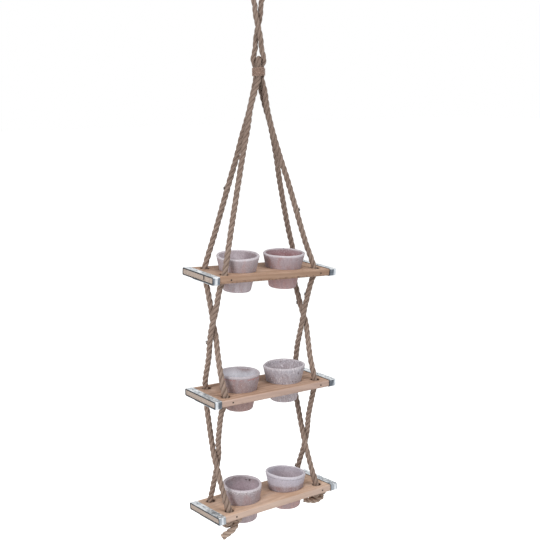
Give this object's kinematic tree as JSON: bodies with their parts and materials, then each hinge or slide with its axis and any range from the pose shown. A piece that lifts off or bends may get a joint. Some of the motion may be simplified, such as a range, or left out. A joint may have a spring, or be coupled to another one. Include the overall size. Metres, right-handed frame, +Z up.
{
  "type": "hanging shelf",
  "caption": "Wooden boards hung one above another on knotted jute rope, with metal bands round their ends and tapered clay pots seated in round holes.",
  "frame": {"origin": "where the inside of the hanging loop bears on its hook", "axes": "+Z up, +X along the boards towards the right end, -Y towards the front"},
  "size_m": [0.3327, 0.1312, 1.2255],
  "materials": {
    "wood": "bare pale softwood, dry and slightly scuffed",
    "zinc": "galvanised, with a faint spangle",
    "clay": "unglazed terracotta with a worn whitewash",
    "jute": "laid rope with loose fibres",
    "iron": "dark, slightly rusted"
  },
  "bodies": {
    "shelf": {"top_board": "wood", "top_band_left": "zinc", "top_band_left_tack_1": "iron", "top_band_left_tack_2": "iron", "top_band_left_tack_3": "iron", "top_band_left_tack_4": "iron", "top_rope_nail_front_left": "iron", "top_rope_nail_back_left": "iron", "top_band_right": "zinc", "top_band_right_tack_1": "iron", "top_band_right_tack_2": "iron", "top_band_right_tack_3": "iron", "top_band_right_tack_4": "iron", "top_rope_nail_front_right": "iron", "top_rope_nail_back_right": "iron", "middle_board": "wood", "middle_band_left": "zinc", "middle_band_left_tack_1": "iron", "middle_band_left_tack_2": "iron", "middle_band_left_tack_3": "iron", "middle_band_left_tack_4": "iron", "middle_rope_nail_front_left": "iron", "middle_rope_nail_back_left": "iron", "middle_band_right": "zinc", "middle_band_right_tack_1": "iron", "middle_band_right_tack_2": "iron", "middle_band_right_tack_3": "iron", "middle_band_right_tack_4": "iron", "middle_rope_nail_front_right": "iron", "middle_rope_nail_back_right": "iron", "bottom_board": "wood", "bottom_band_left": "zinc", "bottom_band_left_tack_1": "iron", "bottom_band_left_tack_2": "iron", "bottom_band_left_tack_3": "iron", "bottom_band_left_tack_4": "iron", "bottom_rope_nail_front_left": "iron", "bottom_rope_nail_back_left": "iron", "bottom_band_right": "zinc", "bottom_band_right_tack_1": "iron", "bottom_band_right_tack_2": "iron", "bottom_band_right_tack_3": "iron", "bottom_band_right_tack_4": "iron", "bottom_rope_nail_front_right": "iron", "bottom_rope_nail_back_right": "iron", "loop_rope": "jute", "bight_rope": "jute", "binding_twine": "jute", "knot_front_left": "jute", "knot_front_right": "jute", "knot_back_left": "jute", "knot_back_right": "jute"},
    "top_pot_left": {"top_pot_left": "clay"},
    "top_pot_right": {"top_pot_right": "clay"},
    "middle_pot_left": {"middle_pot_left": "clay"},
    "middle_pot_right": {"middle_pot_right": "clay"},
    "bottom_pot_left": {"bottom_pot_left": "clay"},
    "bottom_pot_right": {"bottom_pot_right": "clay"}
  },
  "joints": [
    {"name": "top_pot_left_lift", "type": "slide", "parent": "shelf", "child": "top_pot_left", "axis": [0.2215, -0.0344, 0.9745], "range_m": [0, 0.052]},
    {"name": "top_pot_right_lift", "type": "slide", "parent": "shelf", "child": "top_pot_right", "axis": [-0.1254, -0.0344, 0.9915], "range_m": [0, 0.012]},
    {"name": "middle_pot_left_lift", "type": "slide", "parent": "shelf", "child": "middle_pot_left", "axis": [0.1874, -0.0017, 0.9823], "range_m": [0, 0.052]},
    {"name": "middle_pot_right_lift", "type": "slide", "parent": "shelf", "child": "middle_pot_right", "axis": [-0.1599, -0.0017, 0.9871], "range_m": [0, 0.052]},
    {"name": "bottom_pot_left_lift", "type": "slide", "parent": "shelf", "child": "bottom_pot_left", "axis": [0.1582, 0.0498, 0.9862], "range_m": [0, 0.052]},
    {"name": "bottom_pot_right_lift", "type": "slide", "parent": "shelf", "child": "bottom_pot_right", "axis": [-0.1891, 0.0498, 0.9807], "range_m": [0, 0.052]}
  ]
}
